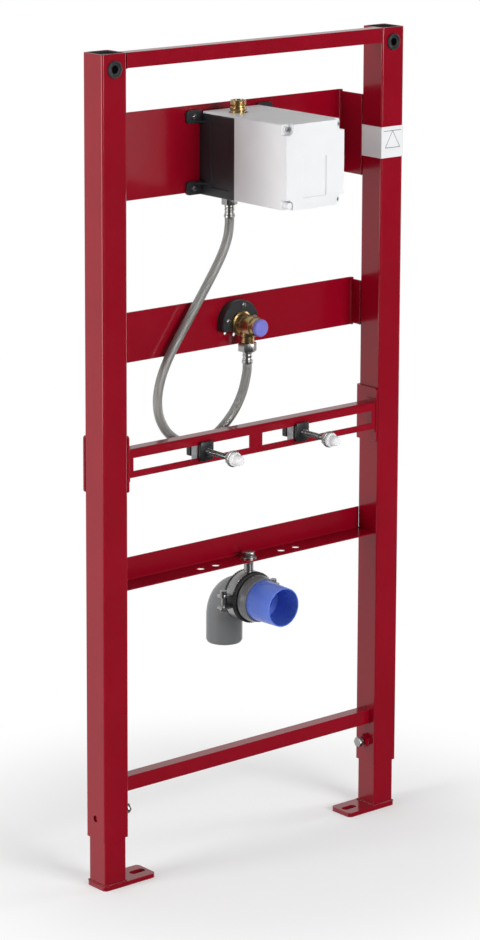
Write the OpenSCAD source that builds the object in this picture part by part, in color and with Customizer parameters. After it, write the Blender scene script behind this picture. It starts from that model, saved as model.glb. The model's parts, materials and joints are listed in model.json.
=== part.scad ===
// Urinal installation frame for a stud wall or a facing.
// X runs across the frame, Y runs back from the front faces, Z runs up.
// Sizes are worked out from the floor, midway between the feet, in the plane of the
// post fronts. The finished pieces are then moved so that the origin lies on the flat
// outer side of the left post, which is held against the stud beside it.

/* [Frame] */
// Width over both posts
frame_w = 520; // [460:5:600]
// Height of the post tops above the floor
frame_h = 1112; // [1080:1:1250]
// Outside size of the square post tube
post = 40; // [36:1:50]
// Wall of the post tube
post_wall = 2; // [1.5:0.5:3]
// Corner radius of the post tube
post_r = 3; // [2.5:0.5:5]
// Lower end of the post tubes above the floor
post_foot = 68; // [66:1:90]
// Height of the two crossbars
bar_h = 20; // [16:1:26]
// Depth of the two crossbars
bar_d = 17; // [14:1:22]
// Wall of the crossbars
bar_wall = 1.5; // [1:0.5:2]
// Underside of the lower crossbar above the floor
low_bar_z = 126; // [120:1:180]

/* [Feet] */
// Outside size of the square leg tube
leg = 35; // [31:1:35]
// Wall of the leg tube
leg_wall = 2; // [1.5:0.5:3]
// Length of leg tube hidden in the post at rest
leg_grip = 218; // [200:1:240]
// Length of the foot plate
plate_l = 86; // [84:1:110]
// Thickness of the foot plate
plate_t = 6; // [4:0.5:8]
// Length of the slot in the foot plate
slot_l = 24; // [20:1:28]
// Distance of the slot from the free end of the foot plate
slot_end = 4.5; // [4:0.5:8]
// Width of the slot in the foot plate
slot_w = 11; // [8:0.5:14]
// Height of the clamping bolt above the floor
foot_bolt_z = 99; // [94:1:110]
// Reach of the clamping bolt from the post
foot_bolt_out = 15; // [13:1:24]
// Diameter of the clamping bolt
foot_bolt_d = 8; // [6:1:10]
// Height of the hole in the outer side of each post
side_hole_z = 96; // [90:1:110]
// Diameter of the hole in the outer side of each post
side_hole_d = 9; // [6:1:12]

/* [Wall fixing] */
// Depth of the wall fixing holes below the post tops
fix_drop = 20; // [19:1:40]
// Bore of the wall fixing bushes
fix_bore = 11; // [8:0.5:11]
// Diameter of the bush sleeve
bush_d = 15; // [14:0.5:16]
// Diameter of the bush collar
bush_collar_d = 23; // [19:1:28]
// Thickness of the bush collar
bush_collar_t = 2; // [1:0.5:3]
// Depth of the end caps in the post tops
cap_depth = 9; // [6:1:10]
// Distance of the origin on the side of the left post below the wall fixing hole
origin_drop = 40; // [20:1:80]

/* [Panels] */
// Thickness of the sheet panels
sheet = 2; // [1.5:0.5:3]
// Inside bend radius of the sheet panels
bend_r = 2; // [1:0.5:3]
// Height of the upper panel
upper_h = 117; // [117:1:140]
// Top of the upper panel below the post tops
upper_drop = 92; // [85:1:100]
// Setback of the upper panel behind the posts
upper_back = 45; // [40:1:55]
// Height of the valve panel
valve_h = 67; // [60:1:90]
// Underside of the valve panel above the floor
valve_z = 693; // [680:1:720]
// Setback of the valve panel behind the posts
valve_back = 19; // [17:1:24]
// Inset of the end flanges from the panel edges
flange_inset = 2.5; // [1:0.5:6]

/* [Waste bracket] */
// Underside of the waste bracket above the floor
waste_bracket_z = 404; // [400:1:412]
// Height of the rear leg of the bracket
waste_bracket_h = 32; // [26:1:40]
// Thickness of the bracket
bracket_t = 1.5; // [1.5:0.5:2.5]
// Setback of the bracket lip from the post fronts
bracket_lip = 3; // [2:1:8]
// Diameter of the holes in the bracket
bracket_hole_d = 11; // [6:0.5:13]
// Distance of each pair of holes from the waste centre
hole_pair = 71; // [60:1:90]
// Distance between the two holes of a pair
hole_gap = 26; // [22:1:30]

/* [Stud rail] */
// Underside of the rail above the floor
rail_z = 554; // [550:1:570]
// Height of the rail
rail_h = 39; // [38:1:44]
// Depth of the rail
rail_d = 17.5; // [15:0.5:19]
// Setback of the rail from the post fronts
rail_set = 2; // [1:0.5:3]
// Thickness of the rail sheet
rail_t = 2; // [1.5:0.5:2.5]
// Height of the two windows
window_h = 17.5; // [16.5:0.5:18]
// Lower edge of the windows above the rail underside
window_low = 9.5; // [8:0.5:11]
// Width of the bridge between the windows
window_gap = 22; // [18:1:28]
// Outer end of each window from the rail end plates
window_end = 5.5; // [4:0.5:10]
// Height of the sleeves on the posts
sleeve_h = 76; // [66:1:90]
// Thickness of the sleeves
sleeve_t = 3; // [2:0.5:4]
// Running clearance of the sleeves on the posts
sleeve_gap = 0.3; // [0.2:0.1:0.5]

/* [Studs] */
// Distance of the left stud from the middle
stud_left = 89; // [60:1:130]
// Distance of the right stud from the middle
stud_right = 79; // [60:1:130]
// Diameter of the studs
stud_d = 8; // [6:1:10]
// Reach of the studs in front of the posts
stud_reach = 74; // [60:1:110]
// Width of the holder front plate
holder_w = 22; // [18:1:28]
// Height of the holder front plate
holder_h = 26; // [23:1:28]
// Thickness of the holder front plate
holder_t = 5; // [4:0.5:8]
// Diameter of the collar nut on each stud
collar_d = 22; // [20:1:28]
// Diameter of the cap on each stud
tip_d = 19; // [17:1:22]
// Length of the cap on each stud
tip_l = 16; // [12:1:24]

/* [Control box] */
// Width of the control box
box_w = 100; // [90:1:110]
// Height of the control box
box_h = 113; // [113:1:120]
// Left side of the box from the middle
box_x = -31; // [-40:1:-20]
// Depth of the housing
housing_d = 72; // [70:1:80]
// Depth of the cover
cover_d = 105; // [80:1:120]
// Wall of the cover
cover_wall = 2.5; // [2:0.5:3]
// Corner radius of the cover
cover_r = 3; // [2.5:0.5:5]
// Width of the notches in the front corners of the cover
notch_w = 12; // [11:1:15]
// Height of the notches in the front corners of the cover
notch_h = 14; // [13:1:16]
// Depth of the notches in the front corners of the cover
notch_d = 10; // [7:1:14]
// Length of the cover's roof over the housing
roof_l = 65; // [55:1:68]
// Length of the fixing ears
ear_l = 25; // [20:1:30]
// Height of the fixing ears
ear_h = 18; // [16:1:24]
// Thickness of the fixing ears
ear_t = 4; // [3:0.5:6]

/* [Water] */
// Height of the valve axis within the valve panel
valve_mid = 31; // [29:1:34]
// Place of the valve from the middle
valve_x = 10; // [0:1:25]
// Diameter of the valve base disc
disc_d = 63; // [56:1:66]
// Height of the flat of the base disc below the valve axis
disc_flat = 9; // [7:1:14]
// Thickness of the valve base disc
disc_t = 13; // [10:1:14]
// Diameter of the valve body
body_d = 27; // [24:1:30]
// Distance of the valve front from the valve panel
valve_reach = 56.5; // [50:0.5:60]
// Diameter of the valve cap
valve_cap_d = 23; // [20:1:25]
// Diameter of the hose over its braid
hose_d = 12.5; // [10:0.5:13]
// Bore of the water inlet
inlet_bore = 15; // [12:0.5:17]

/* [Waste] */
// Outside diameter of the waste pipe
pipe_d = 50; // [48:0.5:50]
// Wall of the waste pipe
pipe_wall = 3; // [2:0.5:4]
// Height of the socket axis above the floor
waste_z = 352; // [350:1:354]
// Place of the waste from the middle
waste_x = 2; // [-5:1:10]
// Radius of the bend
elbow_r = 40; // [38:1:42]
// Lower end of the elbow above the floor
elbow_low = 277; // [260:1:290]
// Diameter of the socket
socket_d = 57; // [56:0.5:60]
// Diameter of the socket collar
ring_d = 64; // [63:1:68]
// Outside diameter of the plug at its mouth
plug_d = 53; // [50:0.5:54]
// Reach of the plug in front of the posts
plug_reach = 54; // [40:1:70]
// Wall of the plug
plug_wall = 1.5; // [1:0.5:2.5]
// Width of the rubber lining of the pipe clamp
rubber_w = 24; // [22:1:24]
// Width of the pipe clamp band
band_w = 14; // [12:1:16]

/* [Level mark] */
// Line of the level mark below the post tops
mark_drop = 142; // [120:1:152]
// Height of the level mark plate
mark_h = 43; // [40:1:50]
// Thickness of the level mark plate
mark_t = 0.4; // [0.3:0.1:0.8]

/* [Hidden] */

$fn = 48;
// Overlap of a cutting shape past the face it cuts
cut = 1;
post_x = (frame_w - post) / 2;
inner_w = frame_w - 2 * post;
mid_y = post / 2;
waste_y = 19;
origin = [-frame_w / 2, mid_y, frame_h - fix_drop - origin_drop];

paint = "#8a0a26";
plastic = "#1c1d1f";
zinc = "#b9bdc2";
steel = "#a7abae";
brass = "#c8a24a";
white = "#eceeec";
grey = "#7d8384";
blue = "#4b78d0";
cap_blue = "#6f7cd4";
braid = "#b4b7b4";

// Moves a finished piece so that the origin lies on the outer side of the left post
module place() { translate(-origin) children(); }

// Straight shapes that repeat
module rounded(w, d, r) {
    square([w - 2 * r, d], center = true);
    square([w, d - 2 * r], center = true);
    for (sx = [-1, 1], sy = [-1, 1])
        translate([sx * (w / 2 - r), sy * (d / 2 - r)]) circle(r, $fn = 24);
}
module slot(l, w, t) {
    for (s = [-1, 1]) translate([s * (l - w) / 2, 0, 0]) cylinder(h = t, d = w);
    translate([-(l - w) / 2, -w / 2, 0]) cube([l - w, w, t]);
}
module hex(across, h) { cylinder(h = h, d = across / cos(30), $fn = 6); }
// Section of a sheet channel whose open side lies on the local Y axis
module channel_section(d, h, t, r) {
    intersection() {
        translate([-d, -h / 2]) square([d, h]);
        difference() {
            rounded(2 * d, h, r + t);
            rounded(2 * (d - t), h - 2 * t, r);
        }
    }
}
// Section of a sheet angle: its bend at the origin, its legs along -X and +Y
module angle_section(d, h, t, r) {
    intersection() {
        translate([-d, 0]) square([d, h]);
        translate([-d, h]) difference() {
            rounded(2 * d, 2 * h, r + t);
            rounded(2 * (d - t), 2 * (h - t), r);
        }
    }
}
// Carries a section drawn in depth and height along the frame
module across_frame(l) { rotate([90, 0, 90]) linear_extrude(l) children(); }
// Turned piece: its points are radius and height
module turned(points) { rotate_extrude() polygon(points); }
module forward() { rotate([90, 0, 0]) children(); }

// Posts: square tubes with the wall fixing holes and a welded nut for the clamping bolt
module upright(side) {
    place() color(paint) difference() {
        union() {
            translate([side * post_x, mid_y, post_foot])
                linear_extrude(frame_h - post_foot) difference() {
                    rounded(post, post, post_r);
                    rounded(post - 2 * post_wall, post - 2 * post_wall, post_r - post_wall / 2);
                }
            at_foot_bolt(side) hex(17, nut_t);
        }
        translate([side * post_x, post + cut, frame_h - fix_drop])
            forward() cylinder(h = post + 2 * cut, d = bush_d);
        at_foot_bolt(side) translate([0, 0, -post_wall - cut])
            cylinder(h = post_wall + nut_t + 2 * cut, d = foot_bolt_d);
        translate([side * (post_x + post / 2 - post_wall - cut), mid_y, side_hole_z])
            rotate([0, side * 90, 0]) cylinder(h = post_wall + 2 * cut, d = side_hole_d);
    }
}
nut_t = 6;
module at_foot_bolt(side) {
    translate([side * (post_x - post / 2), mid_y, foot_bolt_z]) rotate([0, -side * 90, 0]) children();
}
module left_upright() { upright(-1); }
module right_upright() { upright(1); }

// Crossbars: rectangular tubes butted between the posts
module crossbar(y, z) {
    place() color(paint) translate([-inner_w / 2, y, z]) difference() {
        cube([inner_w, bar_d, bar_h]);
        translate([-cut, bar_wall, bar_wall])
            cube([inner_w + 2 * cut, bar_d - 2 * bar_wall, bar_h - 2 * bar_wall]);
    }
}
module top_crossbar() { crossbar(0, frame_h - bar_h); }
module bottom_crossbar() { crossbar(mid_y - bar_d / 2, low_bar_z); }

// Panels: a sheet between two flanges that are welded to the backs of the posts
module panel_outline(back) {
    y = post + back;
    r = bend_r + sheet;
    for (s = [-1, 1]) {
        translate([s * (inner_w / 2 + sheet / 2), post + (back - bend_r) / 2])
            square([sheet, back - bend_r], center = true);
        translate([s * (inner_w / 2 - bend_r), y - bend_r]) intersection() {
            difference() { circle(r); circle(bend_r); }
            translate([s > 0 ? 0 : -2 * r, 0]) square(2 * r);
        }
    }
    translate([-inner_w / 2 + bend_r, y]) square([inner_w - 2 * bend_r, sheet]);
}
module panel(back, z, h) {
    difference() {
        translate([0, 0, z]) linear_extrude(h) panel_outline(back);
        for (s = [-1, 1], e = [0, 1])
            translate([s * (inner_w / 2 + sheet / 2), post + (back - bend_r) / 2 - cut,
                       z + e * h + (e == 0 ? -cut : cut) / 2])
                cube([sheet + 2 * cut, back - bend_r, 2 * flange_inset + cut], center = true);
    }
}
upper_z = frame_h - upper_drop - upper_h;
module upper_panel() { place() color(paint) panel(upper_back, upper_z, upper_h); }
module valve_panel() {
    place() color(paint) difference() {
        panel(valve_back, valve_z, valve_h);
        for (h = [[-17, -13.5], [-1.5, -17.5]])
            translate([valve_x + h[0], post + valve_back + sheet + cut, valve_axis_z + h[1]])
                forward() cylinder(h = sheet + 2 * cut, d = 5);
    }
}

// Bracket for the waste: a bent angle with two pairs of holes
module waste_bracket() {
    place() color(paint) difference() {
        translate([-inner_w / 2, post, waste_bracket_z]) across_frame(inner_w)
            angle_section(post - bracket_lip, waste_bracket_h, bracket_t, bend_r);
        for (s = [-1, 1], p = [-1, 1])
            translate([waste_x + s * hole_pair + p * hole_gap / 2, waste_y, waste_bracket_z - cut])
                cylinder(h = bracket_t + 2 * cut, d = bracket_hole_d);
        translate([waste_x, waste_y, waste_bracket_z - cut])
            cylinder(h = bracket_t + 2 * cut, d = clamp_bolt_d);
    }
}

// Caps in the post tops: a skirt with a sunk floor
module post_cap(side) {
    bore = post - 2 * post_wall;
    floor_t = 2;
    rim = 2;
    well = 3;
    place() color(plastic) translate([side * post_x, mid_y, frame_h - cap_depth]) difference() {
        linear_extrude(cap_depth - 0.5) rounded(bore, bore, post_r - post_wall / 2);
        translate([0, 0, -cut]) linear_extrude(cap_depth - 0.5 - well - floor_t + cut)
            rounded(bore - 2 * rim, bore - 2 * rim, post_r - post_wall / 2);
        translate([0, 0, cap_depth - 0.5 - well]) linear_extrude(well + cut)
            rounded(bore - 2 * rim, bore - 2 * rim, post_r - post_wall / 2);
    }
}
module left_post_cap() { post_cap(-1); }
module right_post_cap() { post_cap(1); }

// Bushes: a sleeve through the post with a collar on its front
module wall_bush(side) {
    lip = 1.2;
    place() color(plastic) translate([side * post_x, post, frame_h - fix_drop]) forward() turned([
        [fix_bore / 2, 0], [bush_d / 2, 0], [bush_d / 2, post], [bush_collar_d / 2, post],
        [bush_collar_d / 2, post + bush_collar_t - 0.6], [bush_collar_d / 2 - 0.6, post + bush_collar_t],
        [bush_collar_d / 2 - 2.4, post + bush_collar_t], [bush_d / 2, post + bush_collar_t - lip],
        [fix_bore / 2 + 0.8, post + bush_collar_t - lip], [fix_bore / 2, post + bush_collar_t - lip]]);
}
module left_wall_bush() { wall_bush(-1); }
module right_wall_bush() { wall_bush(1); }

// Feet: a leg tube that slides in the post, on a slotted plate
slot_x = plate_l - slot_end - slot_l / 2;
module foot(side) {
    place() color(paint) translate([side * post_x, mid_y, 0]) {
        translate([0, 0, plate_t]) linear_extrude(post_foot + leg_grip - plate_t) difference() {
            rounded(leg, leg, post_r - 0.5);
            rounded(leg - 2 * leg_wall, leg - 2 * leg_wall, post_r - leg_wall / 2);
        }
        difference() {
            translate([side * (post - plate_l) / 2, 0, 0]) linear_extrude(plate_t) rounded(plate_l, post, 6);
            translate([side * (post / 2 - slot_x), 0, -cut]) slot(slot_l, slot_w, plate_t + 2 * cut);
        }
    }
}
module left_foot() { foot(-1); }
module right_foot() { foot(1); }

// Clamping bolts: a hexagon bolt in the welded nut, its tip just off the leg
module foot_bolt(side) {
    tip_gap = 0.2;
    head_t = 5.5;
    leg_face = post_wall + (post - 2 * post_wall - leg) / 2 - tip_gap;
    place() color(zinc) at_foot_bolt(side) {
        translate([0, 0, -leg_face]) cylinder(h = leg_face + foot_bolt_out - head_t, d = foot_bolt_d);
        translate([0, 0, foot_bolt_out - head_t]) rotate(30) hex(13, head_t);
    }
}
module left_foot_bolt() { foot_bolt(-1); }
module right_foot_bolt() { foot_bolt(1); }

// Stud rail: a channel open to the back, with two windows and an end plate at each side
wing_x = inner_w / 2 - sleeve_gap - sleeve_t;
end_plate = 2;
channel_l = 2 * (wing_x - end_plate);
window_l = channel_l / 2 - window_end - window_gap / 2;
window_x = window_gap / 2 + window_l / 2;
window_z = rail_z + window_low + window_h / 2;
module stud_rail() {
    place() color(paint) {
        difference() {
            translate([-channel_l / 2, rail_set + rail_d, rail_z + rail_h / 2])
                across_frame(channel_l) channel_section(rail_d, rail_h, rail_t, 1);
            for (s = [-1, 1])
                translate([s * window_x - window_l / 2, rail_set - cut, window_z - window_h / 2])
                    cube([window_l, rail_t + 2 * cut, window_h]);
        }
        for (s = [-1, 1])
            translate([s * (wing_x - end_plate / 2), rail_set + rail_d / 2, rail_z + rail_h / 2])
                cube([end_plate, rail_d, rail_h + 8], center = true);
    }
}

// Sleeves: an angle round the inner side and the back of each post
sleeve_z = rail_z + (rail_h - sleeve_h) / 2;
module rail_sleeve(side) {
    back = post + sleeve_gap + sleeve_t;
    wide = frame_w / 2 - wing_x;
    deep = back - 1;
    corner_r = 4;
    place() color(paint) translate([side * wing_x, back, sleeve_z]) intersection() {
        linear_extrude(sleeve_h)
            if (side < 0) rotate(90) angle_section(deep, wide, sleeve_t, 1);
            else rotate(180) angle_section(wide, deep, sleeve_t, 1);
        translate([-wide - cut, 0, sleeve_h / 2])
            across_frame(2 * (wide + cut)) rounded(2 * deep, sleeve_h, corner_r);
        translate([0, cut, sleeve_h / 2]) forward()
            linear_extrude(deep + 2 * cut) rounded(2 * wide, sleeve_h, corner_r);
    }
}
module left_rail_sleeve() { rail_sleeve(-1); }
module right_rail_sleeve() { rail_sleeve(1); }

// Stud sets: a holder in the window, a clamp behind it, and the stud with its nut and cap
run_gap = 0.4;
holder_y = rail_set - run_gap - holder_t;
clamp_y = rail_set + rail_t + run_gap;
clamp_w = 20;
clamp_d = 16;
knob_t = 9;
knob_w = 20;
module at_stud(x) { translate([x, 0, window_z]) children(); }
module holder(x) {
    guide_w = 14;
    place() color(plastic) at_stud(x) difference() {
        union() {
            translate([-holder_w / 2, holder_y, -holder_h / 2]) cube([holder_w, holder_t, holder_h]);
            translate([-guide_w / 2, holder_y + holder_t, -window_h / 2 + run_gap])
                cube([guide_w, clamp_y - holder_y - holder_t, window_h - 2 * run_gap]);
            translate([0, clamp_y + clamp_d + knob_t / 2, 0]) forward()
                linear_extrude(knob_t, center = true) rounded(knob_w, knob_w, 3);
        }
        translate([0, clamp_y + clamp_d + knob_t + cut, 0]) forward()
            cylinder(h = clamp_d + knob_t + clamp_y - holder_y + 2 * cut, d = stud_d);
    }
}
module clamp(x) {
    h = rail_h - 2 * rail_t - 8;
    wall = 2.5;
    place() color(steel) at_stud(x) difference() {
        translate([0, clamp_y + clamp_d / 2, -h / 2]) linear_extrude(h) difference() {
            rounded(clamp_w, clamp_d, 1 + wall);
            rounded(clamp_w - 2 * wall, clamp_d - 2 * wall, 1);
        }
        translate([0, clamp_y + clamp_d + cut, 0]) forward() cylinder(h = clamp_d + 2 * cut, d = stud_d);
    }
}
module stud(x) {
    back = clamp_y + clamp_d + knob_t;
    place() color(zinc) at_stud(x) translate([0, back, 0]) forward() cylinder(h = back + stud_reach - cap_floor - 1, d = stud_d);
}
nut_y = -stud_reach + tip_l;
nut_l = 8;
cap_floor = 3;
module stud_nut(x) {
    place() color(zinc) at_stud(x) translate([0, nut_y + nut_l, 0]) forward() difference() {
        union() {
            hex(17, nut_l - 2);
            translate([0, 0, nut_l - 3.5]) cylinder(h = 3.5, d = collar_d);
        }
        translate([0, 0, -cut]) cylinder(h = nut_l + 2 * cut, d = stud_d);
    }
}
module stud_cap(x) {
    dome_r = tip_d / 2 - 2.5;
    flange = 5;
    bore = tip_l - cap_floor;
    place() color(white) at_stud(x) translate([0, nut_y, 0]) forward() rotate_extrude() difference() {
        union() {
            square([tip_d / 2, flange]);
            square([dome_r, tip_l - dome_r / 2]);
            intersection() {
                translate([0, tip_l - dome_r / 2]) square([dome_r, dome_r / 2]);
                translate([0, tip_l - dome_r * 1.25]) circle(dome_r * 1.25);
            }
        }
        translate([-cut, -cut]) square([stud_d / 2 + cut, bore + cut]);
    }
}
module left_stud_holder() { holder(-stud_left); }
module left_stud_clamp() { clamp(-stud_left); }
module left_stud() { stud(-stud_left); }
module left_stud_nut() { stud_nut(-stud_left); }
module left_stud_cap() { stud_cap(-stud_left); }
module right_stud_holder() { holder(stud_right); }
module right_stud_clamp() { clamp(stud_right); }
module right_stud() { stud(stud_right); }
module right_stud_nut() { stud_nut(stud_right); }
module right_stud_cap() { stud_cap(stud_right); }

// Control box: a housing with four ears on the upper panel, and a deep cover in front of it
panel_y = post + upper_back;
box_z = upper_z - 4;
joint_y = panel_y - housing_d;
module box_housing() {
    rest_h = box_h - roof_t;
    place() color(plastic) {
        difference() {
            translate([box_x + box_w / 2, panel_y, box_z + rest_h / 2]) forward()
                linear_extrude(housing_d) rounded(box_w, rest_h, 2);
            translate([inlet_x, inlet_y, box_z + rest_h - inlet_deep])
                cylinder(h = inlet_deep + cut, d = inlet_bore);
            for (s = [0, 1])
                translate([box_x - cut + s * (box_w + cut - side_pocket), joint_y + 10, box_z + 12])
                    cube([side_pocket + cut, housing_d - 34, rest_h - 24]);
        }
        for (sx = [0, 1], sz = [0, 1]) difference() {
            box_ear(sx, sz);
            translate([ear_x(sx), panel_y + cut, ear_z(sz)]) forward() cylinder(h = ear_t + 2 * cut, d = 4);
        }
    }
}
inlet_deep = 6;
side_pocket = 1.2;
roof_t = 2.5;
module box_ear(sx, sz) {
    side = 2 * sx - 1;
    gusset = 14;
    translate([box_x + sx * box_w - side * cut, panel_y, ear_z(sz)]) {
        forward() linear_extrude(ear_t) intersection() {
            rounded(2 * (ear_l + cut), ear_h, 5);
            translate([(sx - 1) * 2 * ear_l, -ear_h]) square(2 * ear_l);
        }
        translate([0, cut - ear_t, (1 - 2 * sz) * (ear_h / 2 - 2.5)])
            linear_extrude(2.5, center = true) polygon([[0, 0], [side * gusset, 0], [0, -gusset]]);
    }
}
function ear_x(s) = s == 0 ? box_x - ear_l * 0.5 : box_x + box_w + ear_l * 0.5;
function ear_z(s) = s == 0 ? box_z + 1 + ear_h / 2 : box_z + box_h + 2 - ear_h / 2;
module cover_outline(inset) {
    rounded(box_w - 2 * inset, box_h - 2 * inset, cover_r - inset / 2);
}
module cover_notches(wall) {
    for (sx = [-1, 1], sy = [-1, 1]) translate([sx * box_w / 2, sy * box_h / 2])
        rounded(2 * (notch_w + wall), 2 * (notch_h + wall), 8 + wall);
}
module box_cover() {
    boss_h = 3;
    place() color(white) translate([box_x + box_w / 2, joint_y, box_z + box_h / 2]) forward() {
        difference() {
            union() {
                linear_extrude(cover_d) difference() { cover_outline(0); cover_outline(cover_wall); }
                translate([0, 0, cover_d - cover_wall]) linear_extrude(cover_wall) cover_outline(0);
                translate([0, 0, cover_d - notch_d - cover_wall]) linear_extrude(notch_d + cover_wall)
                    intersection() { cover_outline(0); cover_notches(cover_wall); }
            }
            translate([0, 0, cover_d - notch_d]) linear_extrude(notch_d + cut) cover_notches(0);
            translate([field_x, field_z, cover_d - 0.8]) linear_extrude(1 + cut)
                rounded(field_w, field_h, 2);
        }
        for (sx = [-1, 1], sy = [-1, 1])
            translate([sx * (box_w / 2 - boss_in), sy * (box_h / 2 - boss_in), cover_d - notch_d])
                cylinder(h = sx + sy < -1 ? notch_d - 1 : boss_h, d = boss_d);
        difference() {
            translate([0, 0, -roof_l]) linear_extrude(roof_l) intersection() {
                cover_outline(0);
                translate([-box_w / 2, box_h / 2 - roof_t]) square([box_w, roof_t]);
            }
            translate([inlet_x - box_x - box_w / 2, box_h / 2 + cut, joint_y - inlet_y])
                forward() cylinder(h = roof_t + 2 * cut, d = inlet_d + 4);
        }
    }
}
boss_in = 6.8;
boss_d = 8.5;
field_w = 41;
field_h = 53;
field_x = -1.5;
field_z = -15;
module box_screws() {
    place() color(zinc) for (sx = [0, 1], sz = [0, 1])
        translate([ear_x(sx), panel_y - ear_t, ear_z(sz)]) {
            forward() cylinder(h = 2.5, d = 8);
            translate([0, ear_t, 0]) forward() cylinder(h = ear_t, d = 4);
        }
}

// Water way: inlet union on the box, outlet nut under it, hose and corner valve
inlet_x = 0;
inlet_y = 42;
inlet_h = 19;
inlet_d = 22;
module water_inlet() {
    neck_d = inlet_d - 3;
    rim_d = inlet_d - 0.8;
    collar_h = 9;
    rim_h = 6;
    place() color(brass) translate([inlet_x, inlet_y, box_z + box_h - roof_t]) turned([
        [inlet_bore / 2, 0], [inlet_d / 2, 0], [inlet_d / 2, collar_h], [neck_d / 2, collar_h + 1],
        [neck_d / 2, inlet_h - rim_h - 1], [rim_d / 2, inlet_h - rim_h], [rim_d / 2, inlet_h - 1],
        [rim_d / 2 - 1, inlet_h], [inlet_bore / 2, inlet_h]]);
}
outlet_x = -10;
outlet_y = 47.5;
outlet_l = 29;
module box_outlet() {
    place() color(zinc) translate([outlet_x, outlet_y, box_z - outlet_l]) {
        turned(crimp(outlet_l - 11));
        translate([0, 0, outlet_l - 11]) hex(19, 11);
    }
}
// Crimped sleeve on a hose end, with a bead at its mouth
function crimp(l) = let (r = hose_d / 2 + 0.4) [
    [0, 0], [r, 0], [r + 0.8, 1], [r + 0.8, 4], [r, 5], [r, l], [0, l]];
valve_axis_z = valve_z + valve_mid;
valve_panel_y = post + valve_back;
branch_y = 33;
branch_d = 19;
module valve_base() {
    place() color(plastic) translate([valve_x, valve_panel_y, valve_axis_z]) forward() difference() {
        turned([[0, 0], [disc_d / 2, 0], [disc_d / 2, disc_t - 1.5], [disc_d / 2 - 1.5, disc_t], [0, disc_t]]);
        translate([-disc_d, -disc_flat - disc_d, -cut]) cube([2 * disc_d, disc_d, disc_t + 2 * cut]);
    }
}
module stop_valve() {
    base = valve_panel_y - disc_t;
    front = valve_reach - disc_t - valve_cap_t;
    low = valve_axis_z - nut_top_drop;
    place() color(brass) {
        translate([valve_x, base, valve_axis_z]) forward() turned([
            [0, 0], [17, 0], [17, 3], [body_d / 2, 5], [body_d / 2, front - 6],
            [body_d / 2 - 1.5, front - 5], [body_d / 2 - 1.5, front], [0, front]]);
        translate([valve_x, branch_y, low]) cylinder(h = nut_top_drop, d = branch_d);
    }
}
valve_cap_t = 7;
nut_top_drop = 24;
module valve_cap() {
    base = valve_panel_y - valve_reach + valve_cap_t;
    place() color(cap_blue) translate([valve_x, base, valve_axis_z]) forward() turned([
        [0, 0], [valve_cap_d / 2 - 0.5, 0], [valve_cap_d / 2, 1], [valve_cap_d / 2, valve_cap_t - 1],
        [valve_cap_d / 2 - 1, valve_cap_t], [0, valve_cap_t]]);
}
valve_out_l = 29;
valve_out_z = valve_axis_z - nut_top_drop - valve_out_l;
module valve_outlet() {
    place() color(zinc) translate([valve_x, branch_y, valve_out_z]) {
        turned(crimp(valve_out_l - 12));
        translate([0, 0, valve_out_l - 12]) hex(22, 12);
    }
}
// Points of the hose from the box outlet down, round the loop and up to the valve
hose_points = [
    [-10, 47.5, 870], [-10.3, 47.5, 860], [-13, 47.5, 844], [-21, 47.5, 825],
    [-34, 47.5, 804], [-51, 47.5, 780], [-68, 47.5, 757], [-85, 47.5, 734],
    [-102, 47.5, 711], [-117, 47.5, 688], [-128, 47.5, 664], [-133, 47.5, 638],
    [-129, 47.5, 613], [-115, 47.5, 591], [-93, 47.5, 576], [-67, 47.5, 570],
    [-41, 47.5, 574], [-19, 46.5, 588], [-3, 43, 608], [6, 38, 632],
    [9.7, 34, 657], [10, 33, 671]];
module water_hose() { place() color(braid) sweep(hose_points, hose_d / 2, 10, 3); }

// Sweep of a round section along points joined by a smooth curve
function blend(a, b, c, d, t) =
    0.5 * ((2 * b) + (c - a) * t + (2 * a - 5 * b + 4 * c - d) * t * t + (3 * b - a - 3 * c + d) * t * t * t);
function curve(p, n) = let (m = len(p) - 1) concat(
    [for (i = [0 : m - 1], k = [0 : n - 1])
        blend(i == 0 ? 2 * p[0] - p[1] : p[i - 1], p[i], p[i + 1],
              i == m - 1 ? 2 * p[m] - p[m - 1] : p[i + 2], k / n)],
    [p[m]]);
function unit(v) = v / norm(v);
module sweep(points, r, sides, n) {
    c = curve(points, n);
    last = len(c) - 1;
    rings = [for (i = [0 : last])
        let (t = unit(i == 0 ? [0, 0, -1] : i == last ? [0, 0, 1] : c[i + 1] - c[i - 1]),
             v = unit(cross(t, [0, 1, 0])), w = cross(v, t))
        for (k = [0 : sides - 1])
            let (a = 360 * k / sides) c[i] + r * (cos(a) * v + sin(a) * w)];
    faces = concat(
        [[for (k = [0 : sides - 1]) k]],
        [for (i = [0 : last - 1], k = [0 : sides - 1])
            [i * sides + k, (i + 1) * sides + k,
             (i + 1) * sides + (k + 1) % sides, i * sides + (k + 1) % sides]],
        [[for (k = [0 : sides - 1]) last * sides + sides - 1 - k]]);
    polyhedron(rings, faces);
}

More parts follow.
